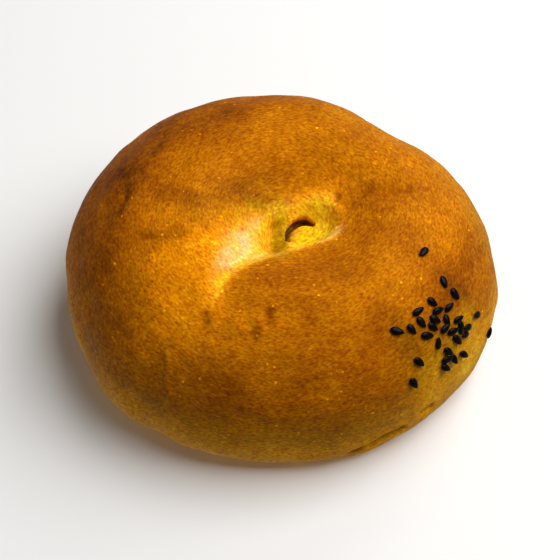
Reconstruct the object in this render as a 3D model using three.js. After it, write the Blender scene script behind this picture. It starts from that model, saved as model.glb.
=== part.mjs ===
import * as THREE from 'three';
import { mergeVertices } from 'three/addons/utils/BufferGeometryUtils.js';

// A soft baked bun, shaped like a bagel whose hole has almost closed.
// Millimetres and degrees. +Z is up, the base lies on Z = 0, and bearings turn from +X towards +Y.

// Driving dimensions: the ring of dough
const longRadius = 53;          // plan radius of the widest ring along its longer axis
const shortRadius = 50;         // and across it
const longBearing = -20;        // where the longer axis points
const crestHeight = 45;         // height of the ring's crest above the base
const widestLevel = 18;         // height of the widest ring above the base
const crestShare = 0.45;        // the crest's plan radius, as a share of the widest ring's
const shoulderPower = 2.1;      // 2 rounds the shoulder like an ellipse, more makes it squarer
const footInset = 9;            // how far the side tucks in from the widest ring to the base
const footPower = 2.4;          // squareness of that tuck

// Soft flats where the dough was pressed or set down, and with a negative depth soft bulges
const flats = [
  { bearing: 48, depth: 3.5, spread: 18 },    // the long flat behind on the right
  { bearing: 158, depth: 1, spread: 22 },
  { bearing: 222, depth: -1.7, spread: 25 },  // the fullest side
  { bearing: 206, depth: 0.7, spread: 6 },
  { bearing: 234, depth: 0.8, spread: 5 },
  { bearing: 345, depth: -1, spread: 15 },
];

// The crest is a little higher on one side than on the other
const crestTilt = { rise: 0.6, bearing: -70 };

// The wide dish that the top sinks into around the closed hole
const dish = { x: 2.5, y: -2, depth: 4.8, reach: 28 };

// The closed hole: a long pit with a gentle slope at one end and steep walls elsewhere.
// toEnd, toFar, toStart and toNear run from its centre to its mouth, along and across its length.
const pit = {
  x: 4, y: -5.6, bearing: 23, depth: 3.6,
  toEnd: 12, toFar: 10, toStart: 18, toNear: 7.8,
  runEnd: 4.5, runFar: 10, runStart: 16, runNear: 3,
};

// Creases: how deep and how wide they are, and the places they pass
const creases = {
  slot: {
    depth: 2, width: 1.3,
    path: [[2, -10], [2, -6.5], [2.5, -3], [3.5, -0.5], [5.5, 0.5], [7.5, -0.5]],
  },
  tail: {
    depth: 1.9, width: 3,
    path: [[-14, -29], [-13, -23.5], [-9.5, -19], [-5, -15], [0, -12]],
  },
  fold: {
    depth: 0.8, width: 1.7,
    path: [[14, -1], [17, 0], [20, 2], [25, 2.5], [30, 4], [33, 6]],
  },
};
const pathSteps = 24;           // straight steps that stand for each crease's curve
const creaseEnd = 0.06;         // a crease fades no further over this share of its length at each end
const creaseFade = 0.5;         // below 1 keeps a crease deep for most of its length

// The underside: a flat foot round a shallow navel where the hole closes
const navelRadius = 8;
const navelDepth = 2.5;

// Fineness of the mesh
const bearingSteps = 96;
const navelRings = 3;
const footRings = 3;
const sideRings = 8;
const shoulderRings = 13;
const dishRings = 8;
const pitRings = 14;

const crust = new THREE.MeshStandardMaterial({ color: 0xc47a14, roughness: 0.5, metalness: 0 });

const radians = THREE.MathUtils.degToRad;
const { clamp, lerp } = THREE.MathUtils;

// 1 at the middle of a press and near 0 two spreads away
function bell(distance, spread) {
  return Math.exp(-((distance / spread) ** 2));
}

// The smaller angle between two bearings in degrees
function bearingGap(first, second) {
  const turn = Math.abs(first - second) % 360;
  return Math.min(turn, 360 - turn);
}

function polar(radius, bearing, z = 0) {
  const angle = radians(bearing);
  return new THREE.Vector3(radius * Math.cos(angle), radius * Math.sin(angle), z);
}

// Plan radius of the widest ring: an oval with its flats
function outlineRadius(bearing) {
  const turn = radians(bearing - longBearing);
  let radius = 1 / Math.hypot(Math.cos(turn) / longRadius, Math.sin(turn) / shortRadius);
  for (const flat of flats) {
    radius -= flat.depth * bell(bearingGap(bearing, flat.bearing), flat.spread);
  }
  return radius;
}

const bearings = Array.from({ length: bearingSteps }, (_, step) => step * 360 / bearingSteps);
const outlinePoints = bearings.map((bearing) => polar(outlineRadius(bearing), bearing));
const outline = new THREE.Box3().setFromPoints(outlinePoints);
const outlineMiddle = outline.getCenter(new THREE.Vector3());

// A place on the widest ring, or at a share of its radius or an inset from it, with the outline's box centred
function ringPoint(bearing, share, inset = 0, z = 0) {
  return polar(outlineRadius(bearing) * share - inset, bearing, z).sub(outlineMiddle);
}

// Distance from the pit's centre to its mouth, from four quarter ellipses
function mouthRadius(bearing) {
  const angle = radians(bearing - pit.bearing);
  const along = Math.cos(angle) / (Math.cos(angle) > 0 ? pit.toEnd : pit.toStart);
  const across = Math.sin(angle) / (Math.sin(angle) > 0 ? pit.toFar : pit.toNear);
  return 1 / Math.hypot(along, across);
}

// How far the pit's wall takes to reach its floor, on the same four quarters
function wallRun(bearing) {
  const angle = radians(bearing - pit.bearing);
  const alongShare = Math.cos(angle) ** 2;
  const along = Math.cos(angle) > 0 ? pit.runEnd : pit.runStart;
  const across = Math.sin(angle) > 0 ? pit.runFar : pit.runNear;
  return lerp(across, along, alongShare);
}

function pitDepth(x, y) {
  const bearing = THREE.MathUtils.radToDeg(Math.atan2(y - pit.y, x - pit.x));
  const inside = mouthRadius(bearing) - Math.hypot(x - pit.x, y - pit.y);
  return pit.depth * THREE.MathUtils.smoothstep(inside / wallRun(bearing), 0, 1);
}

function dishDepth(x, y) {
  const share = clamp(Math.hypot(x - dish.x, y - dish.y) / dish.reach, 0, 1);
  return dish.depth * (1 - share ** 2) ** 2;
}

for (const crease of Object.values(creases)) {
  const curve = new THREE.CatmullRomCurve3(crease.path.map(([x, y]) => new THREE.Vector3(x, y, 0)));
  crease.points = curve.getPoints(pathSteps);
}

// Deepest at the middle of its length, and fading out towards both ends
function creaseDepth(crease, x, y) {
  let nearest = Infinity;
  let share = 0;
  crease.points.forEach((point, step) => {
    const distance = Math.hypot(x - point.x, y - point.y);
    if (distance < nearest) {
      nearest = distance;
      share = step / pathSteps;
    }
  });
  const fade = Math.sin(Math.PI * clamp(share, creaseEnd, 1 - creaseEnd)) ** creaseFade;
  return crease.depth * fade * bell(nearest, crease.width);
}

// How far the top lies below its crest at a place in plan
function topSink(x, y) {
  let sink = dishDepth(x, y) + pitDepth(x, y);
  for (const crease of Object.values(creases)) {
    sink += creaseDepth(crease, x, y);
  }
  return sink;
}

function crestLevel(bearing) {
  return crestHeight + crestTilt.rise * Math.cos(radians(bearing - crestTilt.bearing));
}

// The part of the top that lies inside the crest, where only the sink changes the height
function onTop(point, bearing) {
  return point.setZ(crestLevel(bearing) - topSink(point.x, point.y));
}

function ringsOf(count, place) {
  return Array.from({ length: count }, (_, index) => (bearing) => place((index + 1) / count, bearing));
}

function navelRing(share, bearing) {
  return polar(navelRadius * share, bearing, navelDepth * (1 - share ** 2) ** 2);
}

function footRing(share, bearing) {
  return polar(navelRadius, bearing).lerp(ringPoint(bearing, 1, footInset), share);
}

function sideRing(share, bearing) {
  const turn = (1 - share) * Math.PI / 2;
  const inset = footInset * (1 - Math.cos(turn) ** (2 / footPower));
  return ringPoint(bearing, 1, inset, widestLevel * (1 - Math.sin(turn) ** (2 / footPower)));
}

function shoulderRing(share, bearing) {
  const turn = (1 - share) * Math.PI / 2;
  const point = ringPoint(bearing, lerp(crestShare, 1, Math.sin(turn) ** (2 / shoulderPower)));
  const rise = Math.cos(turn) ** (2 / shoulderPower);
  return point.setZ(lerp(widestLevel, crestLevel(bearing) - topSink(point.x, point.y), rise));
}

function mouthPoint(bearing) {
  return polar(mouthRadius(bearing), bearing).add(new THREE.Vector3(pit.x, pit.y, 0));
}

function dishRing(share, bearing) {
  const crest = ringPoint(bearing, crestShare);
  return onTop(crest.lerp(mouthPoint(bearing), share), bearing);
}

// The crest's tilt dies away towards the pit, so all bearings meet at one point there
function pitRing(share, bearing) {
  const centre = new THREE.Vector3(pit.x, pit.y, 0);
  const point = mouthPoint(bearing).lerp(centre, share);
  return point.setZ(lerp(crestLevel(bearing), crestHeight, share) - topSink(point.x, point.y));
}

const rings = [
  (bearing) => polar(0, bearing, navelDepth),
  ...ringsOf(navelRings, navelRing),
  ...ringsOf(footRings, footRing),
  ...ringsOf(sideRings, sideRing),
  ...ringsOf(shoulderRings, shoulderRing),
  ...ringsOf(dishRings, dishRing),
  ...ringsOf(pitRings, pitRing),
];

// A lathe of radius 1 gives the closed mesh: its height is the ring's number, from the navel to the pit
function ringLathe() {
  const last = rings.length - 1;
  const profile = rings.map((_, index) => new THREE.Vector2(index === 0 || index === last ? 0 : 1, index));
  const lathe = new THREE.LatheGeometry(profile, bearingSteps);
  lathe.deleteAttribute('normal');
  lathe.deleteAttribute('uv');
  return mergeVertices(lathe.rotateX(Math.PI / 2));
}

// The lathe leaves a sliver of no area beside each triangle at its two poles
function withoutSlivers(geometry) {
  const corners = geometry.getIndex().array;
  const kept = [];
  for (let at = 0; at < corners.length; at += 3) {
    const [a, b, c] = corners.slice(at, at + 3);
    if (a !== b && b !== c && c !== a) {
      kept.push(a, b, c);
    }
  }
  geometry.setIndex(kept);
  return geometry;
}

function bunGeometry() {
  const geometry = withoutSlivers(ringLathe());
  const positions = geometry.getAttribute('position');
  for (let index = 0; index < positions.count; index += 1) {
    const bearing = THREE.MathUtils.radToDeg(Math.atan2(positions.getY(index), positions.getX(index)));
    const ring = rings[Math.round(positions.getZ(index))];
    positions.setXYZ(index, ...ring(bearing).toArray());
  }
  geometry.computeVertexNormals();
  return geometry;
}

const bun = new THREE.Mesh(bunGeometry(), crust);
bun.name = 'bun';

const sweetPotatoBun = new THREE.Group();
sweetPotatoBun.add(bun);

export default sweetPotatoBun;
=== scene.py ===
import math
import random

import bpy
import numpy as np
from mathutils import Matrix, Vector, noise
from mathutils.bvhtree import BVHTree


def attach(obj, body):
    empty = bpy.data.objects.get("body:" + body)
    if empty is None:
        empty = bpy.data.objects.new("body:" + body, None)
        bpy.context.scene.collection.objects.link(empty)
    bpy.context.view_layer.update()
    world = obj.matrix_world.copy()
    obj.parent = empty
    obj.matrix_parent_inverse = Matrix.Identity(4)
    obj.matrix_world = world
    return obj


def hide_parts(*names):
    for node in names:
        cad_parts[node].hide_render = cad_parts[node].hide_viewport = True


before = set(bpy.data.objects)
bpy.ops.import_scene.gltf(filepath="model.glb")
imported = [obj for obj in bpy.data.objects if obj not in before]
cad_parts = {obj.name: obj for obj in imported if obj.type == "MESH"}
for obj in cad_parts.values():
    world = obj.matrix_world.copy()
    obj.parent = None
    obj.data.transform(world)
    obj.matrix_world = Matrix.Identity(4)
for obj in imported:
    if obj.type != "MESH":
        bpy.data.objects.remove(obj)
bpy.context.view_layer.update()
mm = 0.001
scene = bpy.context.scene


def toLinear(hexColour):
    channels = [int(hexColour[at:at + 2], 16) / 255 for at in (1, 3, 5)]
    return [c / 12.92 if c <= 0.04045 else ((c + 0.055) / 1.055) ** 2.4 for c in channels] + [1.0]


def addNode(tree, kind, settings=None, inputs=None, stops=()):
    # settings are the node's own, inputs are numbers, hex colours or another node's output,
    # and stops are a colour ramp's, each with its place on the ramp and its hex colour
    node = tree.nodes.new(kind)
    for name, value in (settings or {}).items():
        setattr(node, name, value)
    for name, value in (inputs or {}).items():
        if isinstance(value, bpy.types.NodeSocket):
            tree.links.new(value, node.inputs[name])
        else:
            node.inputs[name].default_value = toLinear(value) if isinstance(value, str) else value
    for _ in stops[2:]:
        node.color_ramp.elements.new(1)
    for index, (position, colour) in enumerate(stops):
        node.color_ramp.elements[index].position = position
        node.color_ramp.elements[index].color = toLinear(colour)
    return node


def newMaterial(name):
    material = bpy.data.materials.new(name)
    material.use_nodes = True
    tree = material.node_tree
    tree.nodes.clear()
    shader = addNode(tree, "ShaderNodeBsdfPrincipled")
    addNode(tree, "ShaderNodeOutputMaterial", inputs={"Surface": shader.outputs["BSDF"]})
    return material, tree, shader


def selectOnly(item):
    bpy.ops.object.select_all(action="DESELECT")
    item.select_set(True)
    bpy.context.view_layer.objects.active = item


def applyModifier(item, kind, settings):
    modifier = item.modifiers.new(kind.lower(), kind)
    for name, value in settings.items():
        setattr(modifier, name, value)
    selectOnly(item)
    bpy.ops.object.modifier_apply(modifier=modifier.name)


def pickVertices(item, chosen):
    # leaves the item in edit mode with only the chosen vertices selected
    selectOnly(item)
    bpy.ops.object.mode_set(mode="EDIT")
    bpy.ops.mesh.select_mode(type="VERT")
    bpy.ops.mesh.select_all(action="DESELECT")
    bpy.ops.object.mode_set(mode="OBJECT")
    item.data.vertices.foreach_set("select", np.asarray(chosen, dtype=bool))
    bpy.ops.object.mode_set(mode="EDIT")


def direction(bearing, elevation):
    # bearings turn from +X towards +Y, elevations are above the level, both in degrees
    turn, rise = math.radians(bearing), math.radians(elevation)
    return Vector((math.cos(turn) * math.cos(rise), math.sin(turn) * math.cos(rise), math.sin(rise)))


def pointingAt(place, target):
    return (Vector(place) - Vector(target)).to_track_quat("Z", "Y").to_euler()


# Camera, floor and light
view = {
    "target": (0, -3 * mm, 18 * mm),
    "bearing": -90,
    "elevation": 50,
    "distance": 460 * mm,
    "lens": 120,
}

studio = {
    "floor": {"size": 6, "colour": "#f4f3f1", "roughness": 0.9},
    # the large soft lamp gives the bun its shape, the small one behind puts a shine on the hollow's rim
    "lamps": [
        {"name": "softbox", "bearing": 5, "elevation": 60, "size": 800 * mm, "power": 10},
        {"name": "backSoftbox", "bearing": 60, "elevation": 35, "size": 300 * mm, "power": 1.2},
    ],
    "lampDistance": 900 * mm,
    # what the room throws back from above and the table from below, and how softly one turns into the other
    "room": {"above": 0.14, "below": 0.38, "blend": 0.3},
}


def addCamera():
    data = bpy.data.cameras.new("camera")
    data.lens = view["lens"]
    data.dof.use_dof = False
    camera = bpy.data.objects.new("camera", data)
    scene.collection.objects.link(camera)
    target = Vector(view["target"])
    camera.location = target + direction(view["bearing"], view["elevation"]) * view["distance"]
    camera.rotation_euler = pointingAt(camera.location, target)
    scene.camera = camera


def addFloor():
    # matt white card: an even pale ground without a shine
    bpy.ops.object.select_all(action="DESELECT")
    bpy.ops.mesh.primitive_plane_add(size=studio["floor"]["size"])
    floor = bpy.context.object
    floor.name = "floor"
    material, _, shader = newMaterial("mattCard")
    shader.inputs["Base Color"].default_value = toLinear(studio["floor"]["colour"])
    shader.inputs["Roughness"].default_value = studio["floor"]["roughness"]
    floor.data.materials.append(material)
    # the room light already holds what the floor throws back
    floor.visible_diffuse = False
    floor.visible_glossy = False


def addLamps():
    for lamp in studio["lamps"]:
        data = bpy.data.lights.new(lamp["name"], "AREA")
        data.size = lamp["size"]
        data.energy = lamp["power"]
        light = bpy.data.objects.new(lamp["name"], data)
        scene.collection.objects.link(light)
        light.location = direction(lamp["bearing"], lamp["elevation"]) * studio["lampDistance"]
        light.rotation_euler = pointingAt(light.location, (0, 0, 0))


def addRoom():
    room = studio["room"]
    world = bpy.data.worlds.new("room")
    world.use_nodes = True
    tree = world.node_tree
    place = addNode(tree, "ShaderNodeTexCoord").outputs["Generated"]
    height = addNode(tree, "ShaderNodeSeparateXYZ", inputs={"Vector": place}).outputs["Z"]
    strength = addNode(tree, "ShaderNodeMapRange", inputs={
        "Value": height, "From Min": -room["blend"], "From Max": room["blend"],
        "To Min": room["below"], "To Max": room["above"]})
    background = tree.nodes["Background"]
    background.inputs["Color"].default_value = (1, 1, 1, 1)
    tree.links.new(strength.outputs["Result"], background.inputs["Strength"])
    scene.world = world


addCamera()
addFloor()
addLamps()
addRoom()
scene.view_settings.view_transform = "Standard"
print("camera, floor and light are in place")


# The crust. It starts as a copy of the solid, is made finer, and is then worked over as in sculpting.
# Lengths are in mm. A path passes places (x, y) on the top, or (bearing, height) where it says side.
crust = {
    "mergeWithin": 0.001,       # makes one mesh of the solid's loose triangles
    "grid": 0.7,                # the mesh's faces are about this wide
    "smoothing": {"factor": 0.5, "iterations": 12},  # takes out the steps that the grid leaves
    # around the pit the faces are split and smoothed again, in this many rounds
    "refined": {"place": (4, -4), "reach": 10, "rounds": 2, "factor": 0.5, "repeat": 4},
    # the middle line of the ring of dough; the pit and its slot are above its height
    "ring": {"x": 2, "y": -2, "radius": 27, "height": 20},
    "slot": {
        # the gap between the folded-in tongue of dough and the rest, which reaches in under the rest
        "path": [(2, -11), (1.8, -6.5), (2.1, -4.2), (3.4, -1.7), (4.8, -0.6), (6.3, -0.4), (7.7, -1.2)],
        "widths": [0.4, 0.45, 0.55, 0.75, 0.9, 0.9, 0.6],
        "depths": [2.5, 2.8, 2.9, 3.2, 3.4, 3.4, 1.6],
        "tongue": (7, -4),
        "under": 0.6,           # how far it reaches in, as a share of how far it goes down
        "sidePower": 4,         # how steep its sides are, where a stroke has 2
    },
    "strokeEnds": 1.5,          # a stroke fades in and out over this many of its widths
    # a stroke's depth is below 0 for a ridge, and its bake is painted shade and light: how much darker it
    # leaves the skin along a crease, or, below 0, how much paler along a ridge
    "strokes": [
        # the valley left of the slot, the swell of dough right of it, and the bead along the lip
        {"path": [(-2.5, -15.5), (-2, -9), (-1.5, -5), (-1, -1)], "width": 2.3, "depth": 2.2},
        {"path": [(2, -14.5), (2, -10), (2, -6), (2.5, -1.5)], "width": 1.6, "depth": -1.6},
        {"path": [(-7, -16), (-2, -13.5), (2, -12.5), (6, -11), (10, -8.5), (14, -5.5)],
         "width": 0.8, "depth": -0.5},
        # the fold that runs off to the right, with the soft ridge behind it
        {"path": [(14, 0), (17, 1), (20.5, 3), (25, 3), (29.5, 3), (32, 5.5)],
         "width": 1, "depth": 0.6, "bakeAndShade": 0.1},
        {"path": [(20, 6), (25, 6), (29, 7), (32.5, 8.5)], "width": 1.9, "depth": -0.45},
        # wrinkles at the pit's end and on its far wall
        {"path": [(13.8, 5), (13.6, 3), (13.3, 1)], "width": 0.9, "depth": 0.45, "bakeAndShade": 0.3},
        {"path": [(14.9, 4.5), (14.9, 3), (14.6, 1.5)], "width": 0.7, "depth": -0.25},
        {"path": [(16, 4.5), (16, 3), (15.8, 2)], "width": 0.7, "depth": 0.25},
        {"path": [(2.2, 3.5), (2.5, 0.5)], "width": 0.4, "depth": 0.25},
        {"path": [(3.2, 3.5), (3.4, 0.5)], "width": 0.4, "depth": 0.25},
        # small wrinkles behind, on the left and left of the pit
        {"path": [(16, 18), (18.5, 18), (21, 17.5)], "width": 0.8, "depth": 0.35},
        {"path": [(15.5, 19.5), (18, 19.5), (20.5, 19)], "width": 0.8, "depth": -0.3},
        {"path": [(-37.7, 8), (-37.2, 5), (-37.2, 1), (-38.7, -2)], "width": 1, "depth": 0.3},
        {"path": [(-13, 6.5), (-10.5, 6), (-8.5, 6)], "width": 1.6, "depth": 0.3},
        {"path": [(-10, 10), (-7, 10.5), (-5, 11)], "width": 1, "depth": 0.25},
        {"path": [(-26, -6), (-23.5, -8), (-20.5, -9.5)], "width": 1, "depth": -0.35, "bakeAndShade": -0.1},
        {"path": [(-34, -8.5), (-30, -9.5), (-27, -9.5)], "width": 1, "depth": -0.3, "bakeAndShade": -0.08},
        {"path": [(-35, -10.5), (-29, -11.5), (-24, -11.5), (-20, -12)],
         "width": 1, "depth": 0.35, "bakeAndShade": 0.12},
        # the dents in front, and the ridge low down on the left
        {"path": [(-17.5, -32), (-17, -34), (-17, -36.5)], "width": 1, "depth": 0.5, "bakeAndShade": 0.3},
        {"path": [(-2.7, -32), (-2.8, -35), (-2.8, -37.5)], "width": 1.1, "depth": 0.75, "bakeAndShade": 0.25},
        {"path": [(-5.5, -36), (-5.6, -38), (-6, -40)], "width": 1, "depth": 0.6, "bakeAndShade": 0.2},
        {"path": [(-0.5, -31), (-1, -35)], "width": 1.2, "depth": -0.3},
        {"path": [(-8, -35.5), (-8.2, -38)], "width": 1.2, "depth": -0.3, "bakeAndShade": -0.2},
        {"path": [(-26, -37.5), (-25.5, -40), (-26, -42), (-24.5, -44)], "width": 0.7, "depth": -0.45},
        # the fullest place on the right, and the crease above the foot with the ridge over it
        {"side": True, "path": [(-14, 16), (-5, 17), (4, 18)], "width": 4, "depth": -0.7},
        {"side": True, "path": [(-72, 5), (-66, 7), (-61, 8.5), (-57, 9), (-54, 10)],
         "width": 1.1, "depth": 1.9, "bakeAndShade": 0.8},
        {"side": True, "path": [(-51, 12.5), (-48, 13), (-45, 13)], "width": 0.8, "depth": 1, "bakeAndShade": 0.7},
        {"side": True, "path": [(-68, 9), (-64, 11), (-60, 12.5), (-55, 13)], "width": 0.9, "depth": -0.4},
    ],
    # unevenness of the skin: the size of a swelling across and around the ring of dough, and its height
    "swells": [
        {"across": 14, "around": 18, "height": 0.6},
        {"across": 5, "around": 8, "height": 0.3},
        {"across": 2, "around": 5, "height": 0.14},
    ],
    "swellsBetween": (0.3, 3.3),    # below the first height the skin lies flat, above the second it's free
}

castFrom = 90       # rays start this far out, in mm, clear of the bun
pathPoints = 30     # a stroke's curve becomes this many points


def readPlaces(item):
    # places in mm, and normals, one row for each vertex
    count = len(item.data.vertices)
    places, normals = np.empty(count * 3), np.empty(count * 3)
    item.data.vertices.foreach_get("co", places)
    item.data.vertices.foreach_get("normal", normals)
    return places.reshape(-1, 3) / mm, normals.reshape(-1, 3)


def writePlaces(item, places):
    item.data.vertices.foreach_set("co", (places * mm).ravel())
    item.data.update()


def evenCopy(name, solid):
    # a copy of the solid with an even mesh, as sculpting needs, and a finer one around the pit
    item = bpy.data.objects.new(name, solid.data.copy())
    scene.collection.objects.link(item)
    selectOnly(item)
    bpy.ops.object.mode_set(mode="EDIT")
    bpy.ops.mesh.select_all(action="SELECT")
    bpy.ops.mesh.remove_doubles(threshold=crust["mergeWithin"] * mm)
    bpy.ops.mesh.normals_make_consistent(inside=False)
    bpy.ops.object.mode_set(mode="OBJECT")
    applyModifier(item, "REMESH", {"mode": "VOXEL", "voxel_size": crust["grid"] * mm})
    applyModifier(item, "SMOOTH", crust["smoothing"])
    refined = crust["refined"]
    for _ in range(refined["rounds"]):
        places, _ = readPlaces(item)
        near = np.linalg.norm(places[:, :2] - refined["place"], axis=1) < refined["reach"]
        pickVertices(item, near & (places[:, 2] > crust["ring"]["height"]))
        bpy.ops.mesh.subdivide(number_cuts=1, smoothness=0)
        bpy.ops.mesh.vertices_smooth(factor=refined["factor"], repeat=refined["repeat"])
        bpy.ops.object.mode_set(mode="OBJECT")
    bpy.ops.object.shade_smooth()
    return item


def surfaceOf(item):
    return BVHTree.FromObject(item, bpy.context.evaluated_depsgraph_get())


def castOnto(surface, start, way):
    # start and result in mm
    place, normal, _, _ = surface.ray_cast(Vector(start) * mm, Vector(way))
    return place / mm, normal


def placeOnTop(surface, x, y):
    return castOnto(surface, (x, y, castFrom), (0, 0, -1))[0]


def placeOnSide(surface, bearing, height):
    outward = direction(bearing, 0)
    return castOnto(surface, outward * castFrom + Vector((0, 0, height)), -outward)[0]


def smoothPath(points, count=pathPoints):
    # short straight steps along a Catmull-Rom curve through the points
    points = np.array(points, dtype=float)
    ends = np.vstack([2 * points[0] - points[1], points, 2 * points[-1] - points[-2]])
    shares = np.linspace(0, len(points) - 1, count)
    span = np.minimum(shares.astype(int), len(points) - 2)
    t = (shares - span)[:, None]
    a, b, c, d = (ends[span + step] for step in range(4))
    return 0.5 * (2 * b + (c - a) * t + (2 * a - 5 * b + 4 * c - d) * t**2 + (3 * b - a - 3 * c + d) * t**3)


def nearPath(places, path):
    # how far each place is from the path, and the share of the way along it where it is nearest
    nearest = np.full(len(places), np.inf)
    share = np.zeros(len(places))
    for step, (start, way) in enumerate(zip(path, np.diff(path, axis=0))):
        offset = places - start
        along = (offset @ way / (way @ way)).clip(0, 1)
        gap = np.linalg.norm(offset - along[:, None] * way, axis=1)
        closer = gap < nearest
        nearest[closer] = gap[closer]
        share[closer] = (step + along[closer]) / (len(path) - 1)
    return nearest, share


def alongPath(values, share):
    # what values spread evenly along a path come to at each share of the way
    values = np.atleast_1d(values)
    return np.interp(share, np.linspace(0, 1, len(values)), values)


def smoothStep(value, low, high):
    t = np.clip((value - low) / (high - low), 0, 1)
    return t * t * (3 - 2 * t)


def brush(gap, width, power=2):
    # 1 on a stroke's path and near 0 two widths away
    return np.exp(-(gap / width) ** power)


def pressStrokes(item):
    # returns the strokes' painted shade and light: how much darker each place in a crease gets, and how much
    # paler each place on a ridge
    surface = surfaceOf(item)
    places, normals = readPlaces(item)
    moves, paintedStrokeShading = np.zeros(len(places)), np.zeros(len(places))
    for stroke in crust["strokes"]:
        find = placeOnSide if stroke.get("side") else placeOnTop
        path = smoothPath([find(surface, *point) for point in stroke["path"]])
        gap, share = nearPath(places, path)
        length = np.linalg.norm(np.diff(path, axis=0), axis=1).sum()
        toEnd = np.minimum(share, 1 - share) * length
        fade = smoothStep(toEnd, 0, crust["strokeEnds"] * stroke["width"])
        mark = fade * brush(gap, stroke["width"])
        moves -= stroke["depth"] * mark
        paintedStrokeShading += stroke.get("bakeAndShade", 0) * mark
    writePlaces(item, places + normals * moves[:, None])
    return paintedStrokeShading


def grainPlaces(places):
    # a place on the skin in mm across the ring of dough and around it, so that patterns can follow the ring
    ring = crust["ring"]
    x, y, z = places[:, 0] - ring["x"], places[:, 1] - ring["y"], places[:, 2] - ring["height"]
    across = np.arctan2(z, np.hypot(x, y) - ring["radius"]) * ring["height"]
    return np.stack([across, x, y], axis=1)


def swellSkin(item):
    places, normals = readPlaces(item)
    grain = grainPlaces(places)
    moves = np.zeros(len(places))
    for swell in crust["swells"]:
        size = np.array([swell["across"], swell["around"], swell["around"]])
        moves += swell["height"] * np.array([noise.noise(Vector(place)) for place in grain / size])
    free = smoothStep(places[:, 2], *crust["swellsBetween"])
    writePlaces(item, places + normals * (moves * free)[:, None])


def cutSlot(item):
    # returns how deep each place was pushed in, as a share of the deepest
    slot = crust["slot"]
    places, _ = readPlaces(item)
    gap, share = nearPath(places[:, :2], smoothPath(slot["path"]))
    gap[places[:, 2] < crust["ring"]["height"]] = np.inf
    depth = alongPath(slot["depths"], share) * brush(gap, alongPath(slot["widths"], share), slot["sidePower"])
    outward = places[:, :2] - slot["tongue"]
    outward /= np.linalg.norm(outward, axis=1)[:, None]
    places[:, :2] += outward * (depth * slot["under"])[:, None]
    places[:, 2] -= depth
    writePlaces(item, places)
    return depth / max(slot["depths"])
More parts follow.
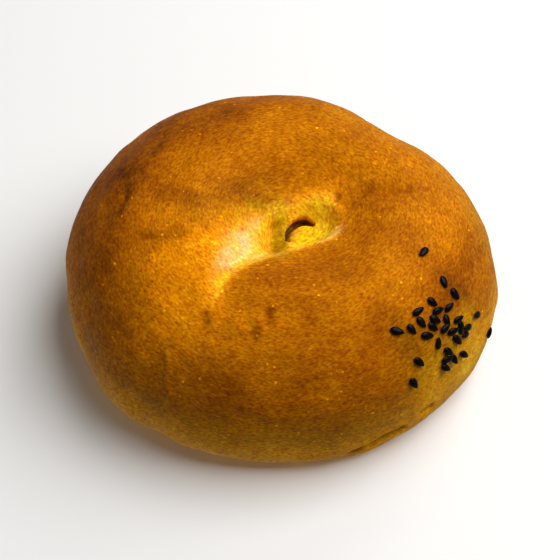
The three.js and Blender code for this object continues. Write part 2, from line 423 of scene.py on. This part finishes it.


# How far the skin is baked, from 0 for pale dough to 1 for dark brown, as brush strokes over an even level,
# with painted shade and light added in places.
# A stroke whose strength changes on its way has a list of strengths from its start to its end.
crust["baking"] = {
    "even": 0.53,
    # strokes fade in between the first pair of heights, and what belongs to the top between the second
    "upper": (8, 14),
    "top": (26, 32),
    # the hollow that the folds kept from browning, from its tail round the far side and back along the lip
    "pit": {
        "loop": [(-15.5, -30), (-15, -21.5), (-13.5, -15), (-11, -8), (-6.5, -3), (-1, 1.5), (6, 4.5),
                 (12, 5), (13.5, 0.5), (14.5, -5), (13.3, -10), (8, -12.5), (3, -15), (-2, -17.5),
                 (-7, -20.5), (-11, -24), (-13.5, -29)],
        "loopPoints": 120,
        # all the way round it: how far it is baked, and how softly it ends
        "bakes": [0.2, 0.16, 0.12, 0.06, 0.02, 0, 0, 0.02, 0.06, 0.15],
        "softness": [2, 3.5, 3.5, 3, 2.5, 1, 0.8, 0.8, 1.6, 2],
        "shine": 0.12,
    },
    # the skin round the pit is a little paler, from this far outside to this far inside
    "halo": {"bakeAndShade": -0.1, "between": (-8, 1)},
    # the foot that the tray shaded, which rises on one side and fades between heights measured from its top
    "band": {"top": 17, "rise": 6, "riseBearing": -20, "riseSpread": 32,
             "bakeAndShade": 0.22, "between": (-8, 6), "golden": 0.42, "goldenBetween": (-6, 13)},
    # the slot is painted dark inside as painted shade where it goes deep, and golden at its edges, between
    # these shares of its depth
    "slot": {"bakeAndShade": 0.9, "between": (0.3, 0.7), "golden": 0.35, "goldenBetween": (0.4, 0.9)},
    "strokes": [
        # paler: the slope left of the pit, its tail, the left edge and the rims low down on both sides, where
        # the left edge and the rim low on the right are painted light
        {"path": [(-13, -32), (-9, -34)], "width": 3.5, "bakeAndShade": -0.1},
        {"path": [(-19, -14), (-22, -20), (-23, -27), (-22, -35)], "width": 7, "bakeAndShade": -0.25},
        # painted light along the left edge
        {"path": [(-49, -26), (-52, -15), (-53, 0), (-51, 12), (-46, 24)], "width": 3,
         "bakeAndShade": [0, -0.3, -0.3, -0.3, 0]},
        # painted light along the rim low down on the right
        {"path": [(35, -39), (41, -32), (46, -24)], "width": 3.5, "bakeAndShade": -0.22},
        {"path": [(-46, -20), (-42, -30), (-35, -38)], "width": 4, "bakeAndShade": -0.15},
        # browner: the far left shoulder and its rim, the left flank, the far side of the pit and the far rim
        {"path": [(-14, 27), (-26, 23), (-34, 14)], "width": 8, "bakeAndShade": 0.26},
        {"path": [(-31, 28), (-38, 20), (-44, 10)], "width": 4, "bakeAndShade": 0.12},
        {"path": [(-37, 9), (-38, 0), (-40, -10), (-42, -18), (-41, -28)], "width": 5, "bakeAndShade": 0.2},
        {"path": [(-20, 1), (-15, 2.5), (-9, 5)], "width": 3, "bakeAndShade": 0.17},
        {"path": [(-5, 2), (1, 2)], "width": 2.5, "bakeAndShade": 0.2},
        {"path": [(-9, 5), (1, 6)], "width": 3, "bakeAndShade": 0.06},
        {"path": [(-15, 6.5), (-8, 8.5), (-1, 10)], "width": 3, "bakeAndShade": 0.16},
        {"path": [(-27, 2), (-23, 0)], "width": 3, "bakeAndShade": 0.22},
        {"path": [(-37, -12), (-30, -12), (-21, -8)], "width": 4, "bakeAndShade": 0.1},
        {"path": [(-36.5, 5), (-36.3, 2), (-37.5, -2)], "width": 1.3, "bakeAndShade": 0.15},
        {"path": [(-45, 6), (-46, -4)], "width": 4, "bakeAndShade": 0.14},
        {"path": [(-26, 33), (-10, 36), (6, 36)], "width": 5, "bakeAndShade": 0.1},
        {"path": [(-34, -36), (-26, -41)], "width": 4, "bakeAndShade": 0.15},
        # painted shade on the dough on both sides of the slot's near part
        {"path": [(0, -14), (0, -9), (0.2, -5), (0.5, -2)], "width": 2.4, "bakeAndShade": 0.45},
        {"path": [(2.7, -9), (2.7, -6), (3.3, -3.8)], "width": 1.2, "bakeAndShade": 0.45},
        # the fold's shadowed side, and the flank round the seeds
        {"path": [(20, 0), (26, 0), (32, 2)], "width": 4, "bakeAndShade": 0.1},
        {"path": [(17, -9), (22, -10), (28, -11)], "width": 5, "bakeAndShade": 0.12},
        {"path": [(19, -16), (24, -17), (30, -17)], "width": 4, "bakeAndShade": 0.04},
        {"path": [(47, 6), (49, -6), (48, -16), (46, -23)], "width": 4, "bakeAndShade": 0.06},
        {"path": [(45, -7), (44, -14), (43, -20)], "width": 3.5, "bakeAndShade": 0.2},
        {"path": [(38.5, -21), (38, -27), (39, -33)], "width": 5, "bakeAndShade": 0.3},
        {"path": [(22, -35), (31, -37)], "width": 4, "bakeAndShade": 0.22},
        {"path": [(6, -43), (22, -40)], "width": 6, "bakeAndShade": 0.08},
        # the front, and below the near lip
        {"path": [(-16, -49), (0, -51), (14, -50), (27, -44)], "width": 4, "bakeAndShade": 0.1},
        {"path": [(-20, -44), (-9, -46)], "width": 3, "bakeAndShade": 0.1},
        {"path": [(-3, -23.5), (4, -22.5), (12, -21.5)], "width": 5, "bakeAndShade": 0.2},
        {"path": [(2, -32), (10, -33)], "width": 4, "bakeAndShade": 0.06},
    ],
    # golden dough that hardly browned; in the valley beside the slot and on the tongue it is painted shade,
    # darkened through the golden colours
    "goldens": [
        # the rim behind on the right
        {"path": [(14, 34), (28, 27), (38, 18), (47, 6), (51, -4), (51, -14)], "width": 5, "golden": 0.15},
        # in and around the pit, first the valley beside the slot, painted as shade
        {"path": [(-0.3, -14), (-0.3, -9), (0, -5), (0.3, -1), (0.3, 0.5)], "width": 3, "golden": 0.95},
        {"path": [(-4, -12), (-3.5, -5), (-3, 0)], "width": 2.5, "golden": 0.7},
        {"path": [(-7, 1), (-2, 1), (3, 0.5)], "width": 2.5, "golden": 0.5},
        {"path": [(6, 1.5), (9, 0.5)], "width": 2, "golden": 0.6},
        {"path": [(11.5, 0.5), (12.5, -2), (12, -5)], "width": 2, "golden": 0.35},
        {"path": [(-10, -3), (-6, 0)], "width": 3, "golden": 0.3},
        {"path": [(-8, -19), (-3, -17), (1, -15.5)], "width": 1.5, "golden": 0.4},
        # the tongue, a darker golden as painted shade
        {"path": [(3, -8), (6, -6), (9, -5)], "width": 3.5, "golden": 0.7},
        {"path": [(-18, -3), (-12, 2), (-4, 5)], "width": 6, "golden": 0.12},
        # low down in front on the right, on the right side, and low down in front on the left
        {"path": [(30, -37), (34, -36)], "width": 5, "golden": 0.2},
        # painted light along the rim low down on the right, in golden
        {"path": [(34, -39), (41, -32), (46, -24)], "width": 3.5, "golden": 0.55},
        {"path": [(46, 6), (50, -3)], "width": 4, "golden": 0.3},
        {"path": [(-34, -41), (-29, -45)], "width": 3, "golden": 0.2},
    ],
    # where the skin shines, and where a painted highlight makes it paler: the pit's left slope and the lip
    "shines": [
        {"path": [(-12, -19), (-10.5, -15), (-9, -11)], "width": 2.4, "shine": 0.9},
        {"path": [(-9, -16), (-6, -15), (-4, -14.5)], "width": 1.8, "shine": 0.6},
        {"path": [(-8, -10), (-6.5, -7), (-5.5, -4)], "width": 1.6, "shine": 0.5},
        {"path": [(-6, -12), (-4.5, -9.5)], "width": 1.5, "shine": 0.6},
        {"path": [(-6, -17), (-3, -16), (0, -15.5)], "width": 1, "shine": 0.9},
        {"path": [(4, -13), (7, -12), (9.5, -11)], "width": 0.6, "shine": 0.5},
        {"path": [(10.5, -10), (12, -9), (13.5, -7.5)], "width": 1.2, "shine": 0.9},
    ],
}


def insideLoop(places, loop):
    # even-odd test, seen from above
    x, y = places[:, 0], places[:, 1]
    inside = np.zeros(len(places), dtype=bool)
    for (ax, ay), (bx, by) in zip(loop, np.roll(loop, -1, axis=0)):
        if ay != by:
            inside ^= ((ay > y) != (by > y)) & (x < ax + (y - ay) * (bx - ax) / (by - ay))
    return inside


def painted(places, stroke, kind):
    # how strongly a stroke of this kind covers each place, seen from above
    gap, share = nearPath(places[:, :2], smoothPath(stroke["path"]))
    return alongPath(stroke[kind], share) * brush(gap, stroke["width"])


def addAttribute(item, name, values):
    kind = "FLOAT_VECTOR" if values.ndim > 1 else "FLOAT"
    layer = item.data.attributes.new(name, kind, "POINT")
    layer.data.foreach_set("vector" if values.ndim > 1 else "value", values.astype(np.float32).ravel())


def bakeSkin(item, places, paintedStrokeShading, slotDepth):
    baking = crust["baking"]
    pit, halo, band, slot = (baking[name] for name in ("pit", "halo", "band", "slot"))
    x, y, z = places.T
    top = smoothStep(z, *baking["top"])
    upper = smoothStep(z, *baking["upper"])
    loop = smoothPath(pit["loop"] + pit["loop"][:1], pit["loopPoints"])
    gap, share = nearPath(places[:, :2], loop)
    inside = np.where(insideLoop(places, loop[:-1]), gap, -gap)
    softness = alongPath(pit["softness"], share)
    inPit = smoothStep(inside, -softness, softness) * top
    bearing = np.degrees(np.arctan2(y, x))
    bandTop = band["top"] + band["rise"] * brush(bearing - band["riseBearing"], band["riseSpread"])

    golden = band["golden"] * (1 - smoothStep(z - bandTop, *band["goldenBetween"]))
    for stroke in baking["goldens"]:
        golden = np.maximum(golden, painted(places, stroke, "golden") * upper)
    golden += (slot["golden"] - golden) * smoothStep(slotDepth, *slot["goldenBetween"])

    bakeAndShade = baking["even"] + halo["bakeAndShade"] * smoothStep(inside, *halo["between"]) * top
    bakeAndShade += (band["bakeAndShade"] - bakeAndShade) * (1 - smoothStep(z - bandTop, *band["between"]))
    bakeAndShade += (alongPath(pit["bakes"], share) - bakeAndShade) * inPit
    for stroke in baking["strokes"]:
        bakeAndShade += painted(places, stroke, "bakeAndShade") * upper
    # painted shade in the strokes' creases and painted light on their ridges
    bakeAndShade += paintedStrokeShading
    # painted shade deep in the slot
    bakeAndShade += (slot["bakeAndShade"] - bakeAndShade) * smoothStep(slotDepth, *slot["between"])

    shine = pit["shine"] * inPit
    for stroke in baking["shines"]:
        shine += painted(places, stroke, "shine") * top
    addAttribute(item, "bakeAndShade", bakeAndShade)
    addAttribute(item, "golden", golden)
    addAttribute(item, "shine", (shine * (1 - golden)).clip(0, 1))


# What the baked dough looks like, with sizes in mm
crust["dough"] = {
    # the grain runs around the ring of dough, and its marks are about twice as long as they are wide
    "grainScale": (1, 0.45, 0.45),
    # uneven marks: what they follow, the size of one, and the noise's detail and roughness
    "marks": {
        "clouds": ("place", 9, 3, 0.55),
        "blotches": ("place", 2.5, 2, 0.55),
        "streaks": ("grain", 0.9, 2, 0.6),
        "speckle": ("grain", 0.42, 1, 0.5),
        "glaze": ("grain", 1.6, 2, 0.55),
        "gloss": ("place", 3, 3, 0.55),
        "pores": ("grain", 0.6, 3, 0.6),
    },
    # small pale specks where the glaze missed the skin: their spacing, where their edge begins and ends as a
    # share of it, and the share of them that is left out
    "specks": {"spacing": 2.7, "edge": (0.07, 0.15), "leftOut": 0.5},
    # how much browner the marks make the skin
    "browning": {"clouds": 0.4, "blotches": 0.28, "streaks": 0.38, "specks": -0.45},
    "skinColours": [(0, "#fcc20c"), (0.1, "#f9ac08"), (0.2, "#f29605"), (0.35, "#e08204"), (0.5, "#c06f04"),
                    (0.7, "#a45703"), (1, "#5c2a05")],
    # the golden colours darken as the level rises, which gives the painted shade in the valley beside the
    # slot and in the slot
    "goldenColours": [(0, "#eabc10"), (0.25, "#d9a30d"), (0.6, "#b18a07"), (1, "#665404")],
    # a painted highlight: its colour, and how far the skin that shines most goes towards it
    "paintedGlintColour": "#ffe0a0",
    "paintedGlintShare": 0.22,          # how far the palest skin goes towards it
    # how much the speckle changes red, green and blue: its light marks are yellow and its dark ones red
    "speckleColour": (1, 2.2, 0),
    "roughness": (0.55, 0.38),  # where the skin is dull and where it shines
    "glazeBetween": (-0.4, 0.05),   # from the glaze's marks that leave the skin bare to those that cover it
    "glazeRoughness": 0.25,
    "sheen": {"level": 0.08, "colour": "#ffc030"},
    "poreDepth": 0.15,
    "poreStrength": 0.4,
}


def bakedDough():
    # yeast dough brushed with egg and baked: a thin satin skin, glossy only in the hollow, browned unevenly
    dough = crust["dough"]
    material, tree, shader = newMaterial("bakedDough")
    bakeAndShade, golden, shine = (addNode(tree, "ShaderNodeAttribute", {"attribute_name": name}).outputs["Fac"]
                           for name in ("bakeAndShade", "golden", "shine"))
    place = addNode(tree, "ShaderNodeTexCoord").outputs["Object"]
    ringPlace = addNode(tree, "ShaderNodeAttribute", {"attribute_name": "grain"}).outputs["Vector"]
    grain = addNode(tree, "ShaderNodeVectorMath", {"operation": "MULTIPLY"}, {
        0: ringPlace, 1: dough["grainScale"]}).outputs[0]

    # each kind of mark as a number round 0
    marks = {}
    for name, (follows, size, detail, roughness) in dough["marks"].items():
        pattern = addNode(tree, "ShaderNodeTexNoise", inputs={
            "Vector": place if follows == "place" else grain,
            "Scale": 1 / (size * mm), "Detail": detail, "Roughness": roughness})
        marks[name] = addNode(tree, "ShaderNodeMath", {"operation": "SUBTRACT"}, {
            0: pattern.outputs["Fac"], 1: 0.5}).outputs[0]

    specks = dough["specks"]
    cells = addNode(tree, "ShaderNodeTexVoronoi", inputs={
        "Vector": place, "Scale": 1 / (specks["spacing"] * mm)})
    dot = addNode(tree, "ShaderNodeMapRange", inputs={
        "Value": cells.outputs["Distance"], "From Min": specks["edge"][0], "From Max": specks["edge"][1],
        "To Min": 1, "To Max": 0})
    chosen = addNode(tree, "ShaderNodeMath", {"operation": "GREATER_THAN"}, {
        0: cells.outputs["Color"], 1: specks["leftOut"]})
    marks["specks"] = addNode(tree, "ShaderNodeMath", {"operation": "MULTIPLY"}, {
        0: dot.outputs["Result"], 1: chosen.outputs[0]}).outputs[0]

    level = bakeAndShade
    for name, weight in dough["browning"].items():
        level = addNode(tree, "ShaderNodeMath", {"operation": "MULTIPLY_ADD"}, {
            0: marks[name], 1: weight, 2: level}).outputs[0]
    # the browned skin, the golden dough that hardly browned, darker where it is painted shade, and a painted
    # highlight that makes the shining skin paler
    skin = addNode(tree, "ShaderNodeValToRGB", inputs={"Fac": level}, stops=dough["skinColours"])
    goldenAndShadedDough = addNode(tree, "ShaderNodeValToRGB", inputs={"Fac": level}, stops=dough["goldenColours"])
    baked = addNode(tree, "ShaderNodeMix", {"data_type": "RGBA"}, {
        "Factor": golden, 6: skin.outputs["Color"], 7: goldenAndShadedDough.outputs["Color"]}).outputs[2]
    paintedGlint = addNode(tree, "ShaderNodeMath", {"operation": "MULTIPLY"}, {0: shine, 1: dough["paintedGlintShare"]})
    withPaintedGlint = addNode(tree, "ShaderNodeMix", {"data_type": "RGBA"}, {
        "Factor": paintedGlint.outputs[0], 6: baked, 7: dough["paintedGlintColour"]}).outputs[2]
    speckle = addNode(tree, "ShaderNodeCombineXYZ", inputs={axis: marks["speckle"] for axis in "XYZ"})
    shade = addNode(tree, "ShaderNodeVectorMath", {"operation": "MULTIPLY_ADD"}, {
        0: speckle.outputs[0], 1: dough["speckleColour"], 2: (1, 1, 1)}).outputs[0]
    colour = addNode(tree, "ShaderNodeVectorMath", {"operation": "MULTIPLY"}, {0: withPaintedGlint, 1: shade})
    tree.links.new(colour.outputs[0], shader.inputs["Base Color"])

    uneven = addNode(tree, "ShaderNodeMath", {"operation": "ADD"}, {0: shine, 1: marks["gloss"]}).outputs[0]
    roughness = addNode(tree, "ShaderNodeMapRange", inputs={
        "Value": uneven, "To Min": dough["roughness"][0], "To Max": dough["roughness"][1]})
    tree.links.new(roughness.outputs["Result"], shader.inputs["Roughness"])
    # the glaze lies in streaks, so its shine is broken up
    glaze = addNode(tree, "ShaderNodeMapRange", inputs={
        "Value": marks["glaze"], "From Min": dough["glazeBetween"][0], "From Max": dough["glazeBetween"][1]})
    coat = addNode(tree, "ShaderNodeMath", {"operation": "MULTIPLY"}, {0: shine, 1: glaze.outputs["Result"]})
    tree.links.new(coat.outputs[0], shader.inputs["Coat Weight"])
    shader.inputs["Coat Roughness"].default_value = dough["glazeRoughness"]
    shader.inputs["Specular IOR Level"].default_value = dough["sheen"]["level"]
    shader.inputs["Specular Tint"].default_value = toLinear(dough["sheen"]["colour"])
    bump = addNode(tree, "ShaderNodeBump", inputs={
        "Height": marks["pores"], "Strength": dough["poreStrength"], "Distance": dough["poreDepth"] * mm})
    tree.links.new(bump.outputs["Normal"], shader.inputs["Normal"])
    return material


def finishPiece(item, material):
    item.data.materials.clear()
    item.data.materials.append(material)
    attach(item, "root")
    print(item.name, "is done, with", len(item.data.polygons), "faces")


bunCrust = evenCopy("bunCrust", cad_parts["bun"])
smoothPlaces, _ = readPlaces(bunCrust)
print("the crust has an even mesh")
paintedStrokeShading = pressStrokes(bunCrust)
swellSkin(bunCrust)
slotDepth = cutSlot(bunCrust)
print("the crust has its folds, wrinkles, swellings and slot")
bakeSkin(bunCrust, smoothPlaces, paintedStrokeShading, slotDepth)
addAttribute(bunCrust, "grain", grainPlaces(smoothPlaces) * mm)
finishPiece(bunCrust, bakedDough())
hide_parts("bun")


# Black sesame, in mm. Each seed lies at (right, up) from the middle of its patch on the bun's flank, turned
# that many degrees from right towards up, with its tip lifted by a few more.
sesame = {
    "length": 3.3, "width": 2.05, "thickness": 1.1,
    "facesAround": 20, "facesAlong": 14,
    "taper": 0.42,              # how much narrower the tip is than the same place at the blunt end
    "taperPower": 1.6,          # above 1 keeps the blunt end full
    "thinning": 0.5,            # how much the thickness tapers, as a share of the width's taper
    "sunk": 0.2,                # how deep it sits in the crust
    "patch": {"place": (38.5, -28.5, 32.5), "bearing": -35, "elevation": 40},
    "seeds": [
        (7.5, 15.5, 180, 4), (5.5, 8, -115, 2), (6, 4, -90, 3), (-0.5, 7, -75, 2), (-5, 8, -10, 4),
        (-0.5, 4.5, -20, 2), (2.5, 3, 0, 6), (-6, 5.5, -85, 0), (-9, 6, -85, 3), (-2.5, 3.5, -65, 8),
        (0, 1, -110, 2), (3, -1, -10, 10), (9.5, -5, 145, 8), (-12, 8, -55, 8), (-4, 2.5, -70, 3),
        (-1.5, 0, 5, 4), (0, -2, -15, 12), (3, -3.5, -110, 3), (5, -5, 145, 8), (15, -14.5, 80, 5),
        (-6.5, 2, -40, 2), (-5, -1.5, 60, 2), (0.5, -5, -75, 10), (3.5, -6, 145, 8), (-3, -5.5, -65, 10),
        (-2, -8.5, -85, 15), (1.5, -10, -60, 15), (-4, -7, -25, 10), (-5, -8.5, -60, 15),
        (-11.5, -1.5, -70, 5), (-14.5, -5, -85, 10),
    ],
    "unevenness": 0.08,         # the share by which seeds differ in size
    "randomSeed": 7,
    # the hull: its colours in patches, its gloss, and the fine pits in it
    "hullColours": [(0.4, "#060403"), (0.75, "#150c07")],
    "hullPatches": {"size": 1.2, "detail": 2},
    "roughness": 0.26,
    "sheen": 0.08,
    "pits": {"size": 0.3, "detail": 2, "depth": 0.08, "strength": 0.5},
}


def oneSeed():
    # lies along X with its tip at +X: a ball whose rings are drawn in towards the tip
    length, width, thickness = sesame["length"] * mm, sesame["width"] * mm, sesame["thickness"] * mm
    bpy.ops.object.select_all(action="DESELECT")
    bpy.ops.mesh.primitive_uv_sphere_add(
        segments=sesame["facesAround"], ring_count=sesame["facesAlong"], radius=0.5,
        rotation=(0, math.pi / 2, 0), scale=(thickness, width, length))
    seed = bpy.context.object
    bpy.ops.object.transform_apply(location=False)
    for level in sorted({round(vertex.co.x / length, 3) for vertex in seed.data.vertices}):
        pickVertices(seed, [round(vertex.co.x / length, 3) == level for vertex in seed.data.vertices])
        drawnIn = sesame["taper"] * (level + 0.5) ** sesame["taperPower"]
        bpy.ops.transform.resize(value=(1, 1 - drawnIn, 1 - drawnIn * sesame["thinning"]),
                                 center_override=(level * length, 0, 0))
        bpy.ops.object.mode_set(mode="OBJECT")
    bpy.ops.object.shade_smooth()
    return seed


def scatterSesame(ground):
    surface = surfaceOf(ground)
    patch = sesame["patch"]
    outward = direction(patch["bearing"], patch["elevation"])
    right = direction(patch["bearing"] + 90, 0)
    up = outward.cross(right)
    pattern = oneSeed()
    draw = random.Random(sesame["randomSeed"])
    seeds = []
    for toRight, upwards, turn, lift in sesame["seeds"]:
        start = Vector(patch["place"]) + right * toRight + up * upwards + outward * castFrom
        place, normal = castOnto(surface, start, -outward)
        angle, tilt = math.radians(turn), math.radians(lift)
        along = right * math.cos(angle) + up * math.sin(angle)
        along = (along - normal * along.dot(normal)).normalized()
        tip = along * math.cos(tilt) + normal * math.sin(tilt)
        side = normal.cross(along)
        back = tip.cross(side)
        size = 1 + draw.uniform(-1, 1) * sesame["unevenness"]
        rise = sesame["thickness"] / 2 - sesame["sunk"] + math.sin(tilt) * sesame["length"] / 2
        seed = pattern.copy()
        seed.data = pattern.data.copy()
        scene.collection.objects.link(seed)
        turned = Matrix([tip, side, back]).transposed().to_4x4()
        seed.matrix_world = Matrix.Translation((place + normal * rise) * mm) @ turned @ Matrix.Scale(size, 4)
        seeds.append(seed)
    bpy.data.objects.remove(pattern)
    selectOnly(seeds[0])
    for seed in seeds:
        seed.select_set(True)
    bpy.ops.object.join()
    bpy.ops.object.transform_apply()
    seeds[0].name = "sesameSeeds"
    return seeds[0]


def sesameHull():
    # whole black sesame: a thin dry hull with a dull sheen, finely pitted, browner where it is rubbed
    patches, pits = sesame["hullPatches"], sesame["pits"]
    material, tree, shader = newMaterial("sesameHull")
    place = addNode(tree, "ShaderNodeTexCoord").outputs["Object"]
    patched = addNode(tree, "ShaderNodeTexNoise", inputs={
        "Vector": place, "Scale": 1 / (patches["size"] * mm), "Detail": patches["detail"]})
    colour = addNode(tree, "ShaderNodeValToRGB", inputs={"Fac": patched.outputs["Fac"]},
                     stops=sesame["hullColours"])
    tree.links.new(colour.outputs["Color"], shader.inputs["Base Color"])
    shader.inputs["Roughness"].default_value = sesame["roughness"]
    shader.inputs["Specular IOR Level"].default_value = sesame["sheen"]
    pitted = addNode(tree, "ShaderNodeTexNoise", inputs={
        "Vector": place, "Scale": 1 / (pits["size"] * mm), "Detail": pits["detail"]})
    bump = addNode(tree, "ShaderNodeBump", inputs={
        "Height": pitted.outputs["Fac"], "Strength": pits["strength"], "Distance": pits["depth"] * mm})
    tree.links.new(bump.outputs["Normal"], shader.inputs["Normal"])
    return material


finishPiece(scatterSesame(bunCrust), sesameHull())
